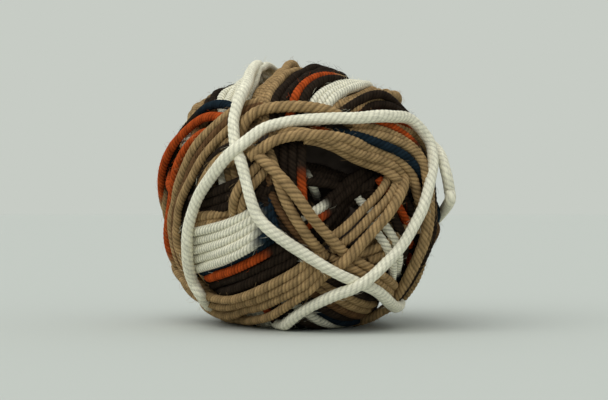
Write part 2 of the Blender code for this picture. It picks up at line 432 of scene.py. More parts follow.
def dye_along(stops, reach):
    """The linear colour at each reach along a strand."""
    colour = np.tile(linear(DYES[stops[0][1]]), (len(reach), 1))
    for place, dye in stops[1:]:
        share = np.clip((reach - place) / FADE + 0.5, 0, 1)[:, None]
        share = share * share * (3 - 2 * share)
        colour = colour * (1 - share) + np.array(linear(DYES[dye])) * share
    return colour


# %% [markdown]
# The base winding. A winding machine passes the yarn over both ends beside the pull hole and down
# the sides, several turns side by side, and then moves round a little. Each bundle is a plane
# through the ball that misses the hole, laid where the ball is thinnest, and its turns lie a strand
# apart.

# %% Base winding
SIDE_BY_SIDE = 0.93
SPACING = YARN * SIDE_BY_SIDE
BUNDLES = 24
TURNS = 7
MISSES = (-30, -24, -18, -12, 12, 18, 24, 30)
WAYS_ROUND, TURNED_BY = 17, 0.37
BUNDLE_SHIFT, TURN_SHIFT = 137, 9
wander = np.random.default_rng(7)


def wound_turn(normal, offset, sway, phase):
    """One turn round the ball, in a plane moved from the centre and swaying a little."""
    first = unit(np.cross(normal, ASKEW))
    second = np.cross(normal, first)
    angle = np.linspace(0, 2 * math.pi, 400, endpoint=False)
    lean = (offset + sway * np.sin(2 * angle + phase))[:, None] / MEAN_RADIUS
    ring = first * np.cos(angle)[:, None] + second * np.sin(angle)[:, None]
    direction = unit(ring + normal * lean)
    return evenly(direction * barrel_radius(direction)[:, None], STEP, closed=True)


def plane_normal(turned, miss):
    """The normal of a plane that turns round the winding axis and misses the ends by a distance."""
    tilt = math.asin(miss / 50)
    flat = math.cos(tilt)
    return unit(np.array([math.cos(turned) * flat, math.sin(turned) * flat, math.sin(tilt)]))


def thinness(normal):
    """How far the ball falls short of its form where a bundle in this plane would lie."""
    band = np.abs(directions @ normal) < TURNS * SPACING / 2 / MEAN_RADIUS
    short = (wanted - top)[band]
    return np.clip(short + 1.0, 0, 6).mean()


wound = 0.0
CHOICES = [plane_normal(k * TURNED_BY, miss) for k in range(WAYS_ROUND) for miss in MISSES]
for bundle in range(BUNDLES):
    normal = max(CHOICES, key=thinness)
    sway, phase = wander.uniform(0.5, 2.5), wander.uniform(0, 6.28)
    for turn in range(TURNS):
        offset = (turn - (TURNS - 1) / 2) * SPACING + wander.uniform(-0.2, 0.2)
        path = wound_turn(normal, offset, sway, phase)
        length = len(path) * STEP
        stops = repeat_stops(bundle * BUNDLE_SHIFT + turn * TURN_SHIFT, length, wander)
        put_down(settle(path, True, YARN), True, YARN, stops, "wound")
        wound += length
    press()
for _ in range(3):
    press(fill_out=True)
form = barrel_radius(directions)
print("base winding:", round(wound / 1000, 1), "m; height over the barrel, mm:",
      np.percentile(top - form, (5, 50, 95)).round(1))

# %% [markdown]
# The bundles that show from the front. Each row of the chart is one bundle: the places that its
# middle passes in the frame, or its first edge where a last edge is given too, and the dyes of its
# strands from left to right as they run. A dye may change along the chart, so a strand may be a list
# of dyes with the share of the way where each gives way to the next. Before and after the charted
# way a bundle runs on for some millimetres, and then its ends dive under its neighbours.

# %% Laying a bundle from the chart
UNDER = 1
Bundle = namedtuple("Bundle", "places dyes before after thick last", defaults=(UNDER, UNDER, YARN, None))
DIVE = 5.0
DIVE_STEEP = 4.5
CHART_LEVEL = 2.5
EDGE_ON = 0.45
UNEVEN = 0.12


def great_circle(direction, forward, angle):
    """Directions along the great circle that leaves a direction forwards."""
    forward = unit(forward - direction * (forward @ direction))
    return direction * np.cos(angle)[:, None] + forward * np.sin(angle)[:, None]


def beyond(front, reach, at_end):
    """A short way on past a route's end along its great circle, as directions."""
    direction = unit(front)
    back_off = min(11, len(direction) - 1)
    if at_end:
        direction = direction[::-1]
    start, last = direction[0], direction[back_off]
    on = great_circle(start, start - last, np.linspace(0, reach / MEAN_RADIUS, 4 + int(reach / 3))[1:])
    return on if at_end else on[::-1]


def pulled_straight(path):
    """A route as a taut strand would run, straighter where the sketch shows it edge on."""
    sight = unit(path - to_ball(EYE))
    edge_on = 1 - np.clip(-(sight * unit(path)).sum(1) / EDGE_ON, 0, 1)
    share = eased(edge_on, 60)[:, None]
    return evenly(eased(path, 24) * (1 - share) + eased(path, 420) * share, STEP)


def moved(path, across):
    """A path moved across the ball, to the right as seen from outside."""
    return unit(path + sideways(path, False) * across)


def chart_stops(dyes, before, length, wander):
    """Dye changes of one strand: before its charted run, along it, and after it."""
    stops = [(-99, dyes[0])]
    share = None
    for item in dyes[1:]:
        if isinstance(item, str):
            stops.append((before + share * length + wander.uniform(-2, 2), item))
        else:
            share = item
    return stops


def charted_line(bundle, share, across):
    """The way of one strand of a bundle, and the length of its charted run."""
    places = np.array(bundle.places, float)
    if bundle.last:
        places += (np.array(bundle.last, float) - places) * share
    front = pulled_straight(evenly(on_ball(smooth(places), CHART_LEVEL), STEP))
    start = beyond(front, bundle.before + DIVE, False)
    end = beyond(front, bundle.after + DIVE, True)
    path = np.vstack((start * barrel_radius(start)[:, None], front, end * barrel_radius(end)[:, None]))
    path = eased(evenly(path, STEP), 40)
    if not bundle.last:
        path = moved(path, across) * np.linalg.norm(path, axis=1)[:, None]
    return evenly(path, STEP), len(front) * STEP


def tail_stops(start, total, seed, wander):
    """Dye changes of the repeat along what a strand has left after its charted run."""
    stops = []
    place = start
    for dye, run in REPEAT[seed % 7 :] + REPEAT:
        if place > total - 20:
            break
        stops.append((place + wander.uniform(-3, 3), dye))
        place += run
    return stops


def lay_bundle(bundle, seed):
    """Lays all the strands of a charted bundle."""
    wander = np.random.default_rng(seed)
    before = bundle.before + DIVE
    count = len(bundle.dyes)
    for k, dyes in enumerate(bundle.dyes):
        across = (k - (count - 1) / 2) * bundle.thick * SIDE_BY_SIDE + wander.uniform(-UNEVEN, UNEVEN)
        line, length = charted_line(bundle, k / max(1, count - 1), across)
        charted_to = before + length
        dyes = (dyes,) if isinstance(dyes, str) else dyes
        stops = chart_stops(dyes, before, length, wander)
        stops += tail_stops(charted_to + 25 + seed % 5 * 5 + k * 2.0, len(line) * STEP, seed, wander)
        rest = settle(line, False, bundle.thick)
        radius = np.linalg.norm(rest, axis=1)
        reach = np.arange(len(rest)) * STEP
        sink = np.clip(1 - np.minimum(reach, reach[-1] - reach) / (DIVE + 1.5), 0, 1)
        rest = unit(rest) * (radius - DIVE_STEEP * sink * (2 - sink))[:, None]
        span = (int(before / STEP), int(charted_to / STEP))
        put_down(rest, False, bundle.thick, stops, "front", span)


# %% [markdown]
# The chart, from what lies lowest to what lies on top: the turns in and round the three-sided
# recess, the shoulders and flanks, the bundle at the lower left, and then the tan turns that frame
# the recess.

# %% The chart of the front
INTO_HOLE = ("brown", 0.12, "white", 0.75, "brown")
FRONT = (
    # In the recess
    Bundle(((262, 150), (300, 153), (350, 158), (402, 166)), ("brown",) * 6,
           last=((262, 178), (300, 178), (350, 182), (402, 196))),
    Bundle(((303, 158), (308, 170), (313, 181), (320, 190), (328, 196), (338, 199)),
           (INTO_HOLE,)),
    Bundle(((274, 132), (274, 150), (274, 175), (278, 200), (288, 234)),
           ("brown", "brown", "brown", ("brown", 0.3, "rust", 0.66, "brown")),
           last=((302, 132), (302, 150), (301, 175), (303, 200), (308, 234))),
    Bundle(((308, 243), (316, 236), (345, 210), (372, 186), (400, 166)), ("brown",) * 4),
    Bundle(((306, 226), (313, 219), (322, 214), (332, 210)),
           (("white", 0.75, "brown"), ("rust", 0.75, "brown"))),
    Bundle(((262, 150), (256, 168), (258, 190), (268, 214), (286, 236)),
           ("umber", "brown", "brown"), UNDER, 30),
    # Far top left, and the fan over the top
    Bundle(((204, 110), (207, 99), (214, 92), (228, 90)), ("rust", "umber"), 30, UNDER),
    Bundle(((212, 104), (216, 92), (225, 78), (239, 65)), ("white",) * 6, UNDER, 150,
           last=((240, 110), (244, 93), (252, 76), (264, 62))),
    Bundle(((248, 114), (252, 93), (262, 74), (276, 62)), ("tan",) * 4, UNDER, 160,
           last=((264, 114), (267, 95), (277, 78), (292, 64))),
    Bundle(((271, 114), (274, 96), (284, 80), (300, 66)), ("brown",) * 3, UNDER, 150,
           last=((287, 114), (291, 97), (300, 82), (320, 68))),
    Bundle(((294, 112), (298, 97), (308, 83), (325, 73), (350, 71)),
           (("rust", 0.85, "tan"), "brown"), UNDER, 120),
    Bundle(((307, 112), (313, 98), (326, 84), (346, 76), (372, 76)), ("white",) * 3, UNDER, 110,
           last=((321, 112), (330, 98), (346, 86), (366, 80), (390, 82))),
    Bundle(((328, 114), (338, 101), (354, 91), (374, 84), (396, 86)), ("tan",) * 4, UNDER, 100,
           last=((346, 114), (358, 105), (372, 98), (390, 95), (408, 101))),
    Bundle(((352, 114), (366, 105), (384, 101), (402, 107), (411, 117)), ("brown",) * 3, UNDER, 90),
    Bundle(((356, 120), (370, 114), (388, 114), (404, 122)), ("rust", "tan"), UNDER, 60),
    # Left shoulder and flank, one broad bundle
    Bundle(((240, 102), (228, 102), (216, 103), (204, 105), (192, 109), (182, 117), (174, 128), (168, 142)),
           (("navy", 0.7, "brown"), "rust", "rust", "brown", ("tan", 0.6, "brown"), "brown", "tan", "tan"),
           UNDER, 60,
           last=((238, 156), (226, 161), (213, 169), (202, 182), (194, 200), (189, 222),
                 (188, 244), (192, 266))),
    # Right flank, from front to side
    Bundle(((372, 214), (384, 236), (392, 256), (397, 276), (399, 300)),
           (("white", 0.75, "navy"), ("white", 0.55, "navy"), "brown", "rust", "brown", "umber"), UNDER, 70,
           last=((412, 160), (424, 184), (432, 210), (434, 236), (430, 264))),
    # Bottom, falling to the right
    Bundle(((292, 282), (318, 293), (342, 304), (364, 313), (388, 320)),
           ("brown", "tan", "tan", "umber", "brown"), UNDER, 80),
    Bundle(((262, 303), (290, 310), (312, 320), (340, 328)), ("navy", "white", "brown"), UNDER, 60),
    # Between the flank and the long loose turn, and then the turns that rise to the right
    Bundle(((188, 207), (212, 200), (236, 192), (262, 180)), ("brown",) * 3),
    Bundle(((184, 224), (206, 220), (228, 218)), ("tan", "tan")),
    Bundle(((256, 172), (247, 184), (239, 197), (234, 210), (232, 222)), ("tan", "tan")),
    Bundle(((205, 296), (222, 291), (250, 281), (282, 266), (304, 252)), ("brown",) * 4),
    Bundle(((196, 279), (214, 275), (238, 266), (256, 257), (276, 245)),
           ("navy", ("rust", 0.85, "brown"))),
    Bundle(((180, 234), (200, 231), (222, 226), (242, 218), (262, 204)),
           (("white", 0.85, "navy"),) * 5,
           last=((184, 270), (204, 268), (226, 260), (246, 250), (272, 232))),
    # Down the left side again, over the ends of the last ones
    Bundle(((182, 182), (176, 200), (173, 220), (174, 240), (181, 260), (194, 280)),
           ("tan", "umber", "tan"), 40, 60),
    # Lower left tan turns, which pass under the long loose turn and go up to the right
    Bundle(((207, 292), (226, 299), (250, 294), (276, 283), (300, 270), (318, 256)),
           ("tan", "tan", "tan", "tan"), 40, UNDER,
           last=((222, 318), (240, 322), (262, 318), (286, 306), (306, 292), (326, 276))),
    # The turns left of the recess
    Bundle(((266, 148), (270, 157), (274, 168), (277, 181), (282, 196), (289, 210), (297, 223),
            (306, 236), (314, 247), (324, 258)), ("tan",), UNDER, UNDER, 3.3),
    Bundle(((342, 262), (352, 265), (366, 270), (380, 279), (393, 290), (402, 300), (410, 312)),
           ("tan", "tan"), UNDER, 80),
    Bundle(((248, 148), (256, 154), (267, 164), (280, 176), (291, 188), (301, 202), (310, 216),
            (320, 228), (332, 240), (342, 251), (352, 262)), ("tan",), UNDER, UNDER, 3.5),
    # The turns right of the recess fan out from the upper right, with gaps
    Bundle(((335, 240), (350, 228), (364, 215), (377, 203), (389, 191), (400, 176), (407, 160)),
           ("tan",)),
    Bundle(((341, 250), (356, 238), (368, 225), (380, 212), (392, 199), (404, 183), (411, 166)),
           ("tan",)),
    Bundle(((330, 276), (341, 266), (352, 256), (364, 245), (375, 232), (385, 217), (396, 203),
            (407, 188), (415, 170)), ("tan",), UNDER, UNDER, 3.4),
    # Over the top of the recess
    Bundle(((262, 138), (285, 130), (305, 128), (325, 129), (345, 131)),
           (("brown", 0.55, "rust", 0.85, "tan"), "brown")),
    Bundle(((343, 146), (356, 151), (370, 156), (386, 161), (398, 170), (406, 184)),
           ("tan",), 14, UNDER, 3.1),
    Bundle(((314, 136), (330, 141), (348, 147), (366, 151), (384, 155), (400, 163), (412, 176)),
           ("tan",), 10, UNDER, 3.1),
    Bundle(((259, 156), (264, 147), (274, 141), (290, 138), (312, 137), (335, 138), (357, 141), (377, 146),
            (395, 152), (410, 162), (420, 178), (424, 200)), ("tan",), UNDER, 90, 3.4),
    Bundle(((345, 124), (357, 129), (370, 134), (384, 139), (398, 146), (410, 153), (419, 166)),
           (("rust", 0.25, "navy"), "navy"), UNDER, 30),
    Bundle(((360, 122), (378, 126), (396, 132), (410, 140), (420, 152), (426, 170), (427, 192)),
           (("rust", 0.5, "brown"), "tan", "tan"), UNDER, 80),
    # Just over the loose ring
    Bundle(((239, 136), (242, 124), (250, 114), (262, 109), (285, 107), (310, 108), (334, 111),
            (352, 116)), ("tan",), UNDER, UNDER, 3.5),
)
for number, bundle in enumerate(FRONT):
    lay_bundle(bundle, 100 + number)
    press()
print("charted bundles:", len(FRONT), "strands in all:", len(strands))

# %% [markdown]
# Three loose turns of thicker, softly twisted white lie over the bundles: a long turn that goes
# right round the ball, a ring whose ends are tucked under at the lower left, and a slack loop at
# the right that stands a little off the ball. Their routes follow the part's closely. A front place
# is in millimetres across and up, as seen half a metre from the eye, with its level over the barrel.
# A place behind is a share beside, above and along the winding axis, with its level.

# %% Loose turns
SIGHT_DISTANCE = 500.0
SETTLES_WITHIN = 1.2
TUCK_LENGTH, TUCK_DEPTH = 13, 9


def front_knot(across, up, level):
    """The point of a front place at a level over the barrel."""
    right, high = (value / SIGHT_DISTANCE * FOCAL for value in (across, up))
    return on_ball([(FRAME_WIDTH / 2 + right, FRAME_HEIGHT / 2 - high)], np.array([level]))[0]


def back_knot(beside, above, along, level):
    """The point of a back place at a level over the barrel."""
    direction = unit(np.array([[beside, above, along]]))
    return direction[0] * (barrel_radius(direction)[0] + level)


LONG_TURN = (
    (-14.7, 41.0, 2.5), (-17.1, 34.5, 3.5), (-19.8, 27.0, 4), (-20.7, 22.5, 4), (-20.1, 15.0, 4),
    (-18.3, 10.5, 4), (-15.6, 0.0, 4), (-12.9, -6.0, 4), (-6.3, -12.0, 4), (4.8, -19.2, 4),
    (14.4, -23.7, 4), (21.3, -26.7, 4), (26.4, -31.2, 4), (0.66, -0.72, 0.30, 3),
    (0.72, -0.66, -0.20, 3), (0.55, -0.48, -0.68, 3), (0.25, -0.12, -0.96, 3),
    (-0.02, 0.32, -0.95, 3), (-0.16, 0.72, -0.68, 2), (-0.24, 0.95, -0.20, 1),
)
BIG_RING = (
    (-0.45, -0.86, 0.35, 0), (-10.2, -37.8, 2), (-2.7, -35.1, 4), (7.8, -29.4, 5), (13.8, -26.4, 6),
    (18.3, -23.7, 6), (22.8, -19.8, 5), (28.8, -13.5, 4), (33.3, -6.0, 4), (35.5, 0.0, 4),
    (37.0, 6.0, 4), (37.7, 11.4, 4), (36.6, 17.4, 4), (31.8, 24.0, 4), (25.8, 24.9, 4),
    (16.8, 24.6, 4), (7.8, 24.9, 4), (-1.2, 24.6, 4), (-7.2, 23.4, 4), (-12.6, 21.6, 5),
    (-19.2, 15.9, 6), (-26.7, 8.4, 5), (-30.3, 3.0, 4), (-32.4, -1.5, 4), (-33.9, -7.5, 4),
    (-34.2, -12.0, 4), (-33.9, -18.6, 4), (-32.4, -24.0, 4), (-29.7, -28.5, 4),
    (-0.60, -0.79, -0.15, 2), (-0.45, -0.86, -0.25, 0),
)
SIDE_LOOP = (
    (33.0, 26.5, 0), (35.5, 23.5, 0.5), (37.6, 20.3, 2.5), (40.2, 14.8, 5.5), (42.4, 9.0, 7.5),
    (43.6, 3.0, 8), (43.4, -0.9, 7.5), (0.97, -0.17, 0.10, 6.5), (0.97, -0.22, -0.10, 4),
    (0.93, -0.24, -0.28, 2), (0.86, -0.24, -0.44, -3),
)


def loose_route(knots, closed):
    """A smooth route through front places (three numbers) and back places (four)."""
    points = np.array([front_knot(*k) if len(k) == 3 else back_knot(*k) for k in knots])
    if closed:
        line = smooth(np.vstack((points[-3:], points, points[:3])))
        line = line[3 * CUTS : -(2 * CUTS + 1)]
    else:
        line = smooth(points)
    return evenly(line, STEP, closed)


def lay_loose(group, knots, closed, stands_off=False):
    """Lays a loose turn over everything that is there, or at its own height if it stands off."""
    line = loose_route(knots, closed)
    rest = settle(line, closed, LOOSE_YARN)
    radius = np.linalg.norm(line, axis=1)
    if not stands_off:
        radius = np.minimum(np.linalg.norm(rest, axis=1), radius + SETTLES_WITHIN)
    if not closed:
        reach = np.arange(len(line)) * STEP
        tuck = np.clip(1 - np.minimum(reach, reach[-1] - reach) / TUCK_LENGTH, 0, 1)
        radius -= tuck * tuck * (3 - 2 * tuck) * TUCK_DEPTH
    put_down(unit(rest) * radius[:, None], closed, LOOSE_YARN, [(0, "white")], group)
    print(group, "is", round(len(line) * STEP), "mm long")


for _ in range(2):
    press(fill_out=True)
lay_loose("long_turn", LONG_TURN, True)
lay_loose("big_ring", BIG_RING, False)
lay_loose("side_loop", SIDE_LOOP, False, stands_off=True)

# %% [markdown]
# Wound yarn is under tension, so it bridges small bumps. Every strand but the loose ones is drawn
# taut once more, no higher than a little over the barrel, and the grid of tops is built up again from
# where they now lie.

# %% Draw the strands taut
STANDS_OFF_BY = 4.0
TAUT_AGAIN = 40
RESTS_ON = 0.52
top[:] = core_radius(directions)
for strand in strands:
    direction = unit(strand.path)
    if strand.group in ("wound", "front"):
        low = np.minimum(strand.radius, barrel_radius(direction) + STANDS_OFF_BY)
        strand.radius[:] = eased(low, TAUT_AGAIN, strand.closed)
    strand.radius[:] = above_floor(direction, strand.radius, strand.thick * RESTS_ON)
    strand.path[:] = direction * strand.radius[:, None]
    stamp(strand.path, strand.closed, strand.thick)
print("strands drawn taut:", len(strands))

# %% [markdown]
# Most of the yarn in a ball is out of sight. A strand is kept where its top is the highest thing on
# the ball, with a few millimetres more at each end, so the model holds what shows and no more.

# %% What shows
KEPT_BEYOND = 3
HIDDEN_GAP = 6
JUST_HIDDEN = 0.2
SHORTEST = 4


def showing(strand):
    """For each point of a strand, whether any of its width shows from outside."""
    half = strand.thick * PRESSED
    right = sideways(strand.path, strand.closed)
    seen = np.zeros(len(strand.path), bool)
    for offset in OFFSETS:
        crown = half * math.sqrt(1 - (offset * 0.99) ** 2)
        ground = top[cell_of(strand.path + right * (offset * half))]
        seen |= strand.radius + crown > ground - JUST_HIDDEN
    return seen


def runs_that_show(strand):
    """The index runs of a strand that show, short hidden gaps kept."""
    seen = showing(strand)
    if seen.all():
        return [(np.arange(len(seen)), strand.closed)]
    if not seen.any():
        return []
    start = int(np.argmin(seen)) if strand.closed else 0
    order = (np.arange(len(seen)) + start) % len(seen)
    wide = np.pad(seen[order], KEPT_BEYOND)
    kept = np.zeros(len(seen), bool)
    for k in range(2 * KEPT_BEYOND + 1):
        kept |= wide[k : k + len(seen)]
    edges = np.flatnonzero(np.diff(np.concatenate(([0], kept.astype(int), [0]))))
    runs = []
    for a, b in zip(edges[::2], edges[1::2]):
        if runs and a - runs[-1][1] < HIDDEN_GAP:
            runs[-1][1] = b
        else:
            runs.append([a, b])
    if not strand.closed:
        first, last = strand.span
        runs = [(a, b) for a, b in runs if (a > 0 or b > first) and (b < len(seen) or a < last)]
    return [(order[a:b], False) for a, b in runs if b - a >= SHORTEST]


kept = [(strand, index, closed) for strand in strands for index, closed in runs_that_show(strand)]
kept_steps = sum(len(index) for _, index, _ in kept)
print("runs that show:", len(kept), "with", round(kept_steps * STEP / 1000, 1), "m of yarn")

# %% [markdown]
# The strand itself. Four plies are twisted round each other to the left, which spinners call an
# S twist: on a strand that runs across, the plies lean like the stroke of a slash. Each ring of the
# mesh has four lobes and is turned a little from the last, so the edges of the mesh follow the
# plies. A few values go with the points: the dye, the painted shade of the groove between the
# plies, which is least on a ply's crown, and a place in the wool for the fibres.

# %% Building the yarn's mesh
PITCH = 1.95
SWELLS_BY, SWELLS_EVERY = 0.035, 12
# The last values of a section set the painted shade round the ring: 1 on a ply's crown, less in the grooves
# between the plies.
Section = namedtuple("Section", "round lobe groove")
FINE = Section(16, np.array([1.0, 0.965, 0.88, 0.965] * 4), np.array([1.0, 0.75, 0.0, 0.75] * 4))
SOFT = Section(16, np.array([1.0, 0.985, 0.94, 0.985] * 4), np.array([1.0, 0.85, 0.45, 0.85] * 4))
PLAIN = Section(12, np.array([1.0, 0.92, 0.92] * 4), np.array([1.0, 0.25, 0.25] * 4))
PLY_TONES = (1.14, 0.78, 1.0, 0.86)


def section_of(strand):
    """Charted and loose strands get the finer cross-section."""
    return {"wound": PLAIN, "front": FINE}.get(strand.group, SOFT)


def strand_rings(strand, index, closed, seed):
    """Points, dyes and wool places of a run of strand, as rings."""
    wander = np.random.default_rng(seed)
    path = strand.path[index]
    count = len(path)
    forward = unit(shifted(path, 1, closed) - shifted(path, -1, closed))
    outward = unit(path)
    outward = unit(outward - forward * (outward * forward).sum(1)[:, None])
    side = np.cross(forward, outward)
    reach = np.arange(count) * STEP
    twist = PITCH * strand.thick
    turns = reach / twist
    if closed:
        turns *= max(1, round(turns[-1] * 4 + 4 * STEP / twist)) / 4 / (count * STEP / twist)
    places = np.arange(0, reach[-1] + 2 * SWELLS_EVERY, SWELLS_EVERY)
    swells = wander.normal(0, 1, int(reach[-1] // SWELLS_EVERY) + 3)[: len(places)]
    fade = np.minimum(1, np.minimum(reach, reach[-1] - reach) / SWELLS_EVERY) if closed else 1
    size = strand.thick / 2 * (1 + SWELLS_BY * np.interp(reach, places, swells) * fade)
    section = section_of(strand)
    spread = np.arange(section.round)[None, :] * (2 * math.pi / section.round)
    angle = spread - 2 * math.pi * turns[:, None]
    radius = size[:, None] * section.lobe
    height = (radius * np.cos(angle) * 0.96)[..., None] * outward[:, None]
    width = (radius * np.sin(angle) * 1.03)[..., None] * side[:, None]
    points = path[:, None] + height + width
    dye = dye_along(strand.stops, index * STEP + wander.uniform(-1, 1))
    tones = np.repeat(wander.permutation(PLY_TONES), section.round // 4)
    pale = np.clip((dye.mean(axis=1) - 0.35) / 0.3, 0, 1)[:, None, None]
    dye = dye[:, None] * (tones[None, :, None] * (1 - pale) + pale)
    wool = np.stack((np.cos(angle) * size[:, None], np.sin(angle) * size[:, None],
                     np.broadcast_to(reach[:, None] / 5 + seed * 7.3 % 50, angle.shape)), axis=-1)
    return points, dye, wool


def run_faces(base, count, closed, strand):
    """Faces of a run whose rings start at a base: quads, and at open ends a fan round a point."""
    corners = section_of(strand).round
    grid = base + np.arange(count * corners).reshape(count, corners)
    turned = np.roll(grid, -1, axis=1)
    if closed:
        step_back = round(count * STEP / (PITCH * strand.thick) * 4) % 4 * (corners // 4)
        near, near_next = grid, turned
        far, far_next = np.roll(grid, -1, axis=0), np.roll(turned, -1, axis=0)
        far[-1] = np.roll(far[-1], -step_back)
        far_next[-1] = np.roll(far_next[-1], -step_back)
    else:
        near, far, near_next, far_next = grid[:-1], grid[1:], turned[:-1], turned[1:]
    quads = np.stack((near, near_next, far_next, far), axis=-1).reshape(-1, 4)
    if closed:
        return [quads]
    head, tail = (np.full(corners, base + grid.size + k) for k in (0, 1))
    head_fan = np.stack((turned[0], grid[0], head), axis=-1)
    tail_fan = np.stack((grid[-1], turned[-1], tail), axis=-1)
    return [quads, head_fan, tail_fan]


def mesh_piece(name, in_room, faces, dye, groove, wool, material):
    """A mesh object from points in the room's directions, their values, and lists of faces."""
    corners = np.concatenate([face.ravel() for face in faces])
    sizes = np.concatenate([np.full(len(face), face.shape[1]) for face in faces])
    mesh = bpy.data.meshes.new(name)
    mesh.vertices.add(len(in_room))
    mesh.vertices.foreach_set("co", (in_room * MM).astype(np.float32).ravel())
    mesh.loops.add(len(corners))
    mesh.loops.foreach_set("vertex_index", corners.astype(np.int32))
    mesh.polygons.add(len(sizes))
    mesh.polygons.foreach_set("loop_start", (np.cumsum(sizes) - sizes).astype(np.int32))
    mesh.update(calc_edges=True)
    mesh.shade_smooth()
    colour = np.column_stack((dye, np.ones(len(dye))))
    mesh.attributes.new("dye", "FLOAT_COLOR", "POINT").data.foreach_set("color", colour.ravel())
    mesh.attributes.new("groove", "FLOAT", "POINT").data.foreach_set("value", groove)
    mesh.attributes.new("wool", "FLOAT_VECTOR", "POINT").data.foreach_set("vector", wool.ravel())
    mesh.materials.append(material)
    piece = bpy.data.objects.new(name, mesh)
    bpy.context.scene.collection.objects.link(piece)
    print(name, "has", int((sizes - 2).sum()), "triangles")
    return piece


def yarn_piece(name, parts, material):
    """One mesh object of many runs of strand."""
    rows, faces = [], []
    base = 0
    for number, (strand, index, closed) in parts:
        ring, dye, wool = strand_rings(strand, index, closed, number)
        # Each ring carries the painted shade of the grooves between its plies.
        groove = np.tile(section_of(strand).groove, len(ring))
        rows.append((ring.reshape(-1, 3), dye.reshape(-1, 3), groove, wool.reshape(-1, 3)))
        faces += run_faces(base, len(ring), closed, strand)
        base += len(groove)
        if not closed:
            ends = [values[[0, -1]].mean(axis=1) for values in (ring, dye, wool)]
            rows.append((ends[0], ends[1], np.zeros(2), ends[2]))
            base += 2
    points, dyes, groove_shades, wools = (np.concatenate(values) for values in zip(*rows))
    return mesh_piece(name, to_room(points), faces, dyes, groove_shades, wools, material)


# %% [markdown]
# Wool takes dye unevenly, fibre by fibre, and it is quite matt. Shade is painted into the colour in
# the grooves between the plies, where little light gets in, and the crowns are painted a little lighter.

# %% The wool
def node(tree, kind, settings=None, **inputs):
    """Adds a node with its settings, its input values and its links."""
    made = tree.nodes.new(kind)
    for name, value in (settings or {}).items():
        setattr(made, name, value)
    for name, value in inputs.items():
        socket = made.inputs[int(name[1:])] if name[0] == "_" else made.inputs[name.replace("_", " ")]
        if isinstance(value, bpy.types.NodeSocket):
            tree.links.new(value, socket)
        else:
            socket.default_value = value
    return made


def ragg_wool():
    """Dyed four-ply wool: matt, heathered, with painted shade between the plies."""
    material = bpy.data.materials.new("ragg_wool")
    material.use_nodes = True
    tree = material.node_tree
    shader = tree.nodes["Principled BSDF"]
    names = ("dye", "groove", "wool")
    dye, groove, wool = (node(tree, "ShaderNodeAttribute", {"attribute_name": n}) for n in names)
    place = wool.outputs["Vector"]
    fibres = node(tree, "ShaderNodeTexNoise", Vector=place, Scale=4.5, Detail=3.0, Roughness=0.65)
    heather = node(tree, "ShaderNodeTexNoise", Vector=place, Scale=1.1, Detail=2.0)
    # Painted shade: the colour is darker towards the grooves between the plies and a little lighter on the
    # crowns.
    shade = node(tree, "ShaderNodeMapRange", Value=groove.outputs["Fac"], _3=0.52, _4=1.04)
    fleck = node(tree, "ShaderNodeMapRange", Value=fibres.outputs["Fac"], _1=0.3, _2=0.7, _3=0.78, _4=1.22)
    cloud = node(tree, "ShaderNodeMapRange", Value=heather.outputs["Fac"], _1=0.3, _2=0.7, _3=0.88, _4=1.12)
    times = {"operation": "MULTIPLY"}
    both = node(tree, "ShaderNodeMath", times, _0=shade.outputs[0], _1=fleck.outputs[0])
    tone_and_shade = node(tree, "ShaderNodeMath", times, _0=both.outputs[0], _1=cloud.outputs[0])
    colour = node(tree, "ShaderNodeVectorMath", {"operation": "SCALE"},
                  _0=dye.outputs["Color"], Scale=tone_and_shade.outputs[0])
    tree.links.new(colour.outputs["Vector"], shader.inputs["Base Color"])
    bump = node(tree, "ShaderNodeBump", Strength=0.6, Distance=0.0002, Height=fibres.outputs["Fac"])
    tree.links.new(bump.outputs["Normal"], shader.inputs["Normal"])
    shader.inputs["Roughness"].default_value = 0.95
    shader.inputs["Specular IOR Level"].default_value = 0.05
    return material


def plain_finish(name, hex_colour, roughness, specular=0.5):
    """A plain material of one colour."""
    material = bpy.data.materials.new(name)
    material.use_nodes = True
    sockets = material.node_tree.nodes["Principled BSDF"].inputs
    sockets["Base Color"].default_value = (*linear(hex_colour), 1)
    sockets["Roughness"].default_value = roughness
    sockets["Specular IOR Level"].default_value = specular
    return material


# %% The pieces of yarn
wool_material = ragg_wool()
LIMIT = 190000
numbered = list(enumerate(kept))
pieces = []
for group in ("long_turn", "big_ring", "side_loop"):
    pieces.append(yarn_piece(group, [n for n in numbered if n[1][0].group == group], wool_material))
batch, size, made = [], 0, 1
for item in numbered:
    if item[1][0].group in ("wound", "front"):
        amount = len(item[1][1]) * section_of(item[1][0]).round * 2 + 32
        if size + amount > LIMIT:
            pieces.append(yarn_piece(f"wound_yarn_{made}", batch, wool_material))
            batch, size, made = [], 0, made + 1
        batch.append(item)
        size += amount
pieces.append(yarn_piece(f"wound_yarn_{made}", batch, wool_material))

# %% [markdown]
# The bloom of the wool: short fibres that stand off the strands. Each leaves the strand at a low
# angle, bends back and ends in a point. They are far too fine to see singly, but together they soften
# the outline, as they do on real wool.

# %% The fibres that stand off
FIBRE_EVERY = 2.2
FIBRE_THICK = 0.055
FIBRE_LENGTHS, FIBRE_RISES, FIBRE_BOW = (1.5, 4.5), (0.3, 1.1), 0.8


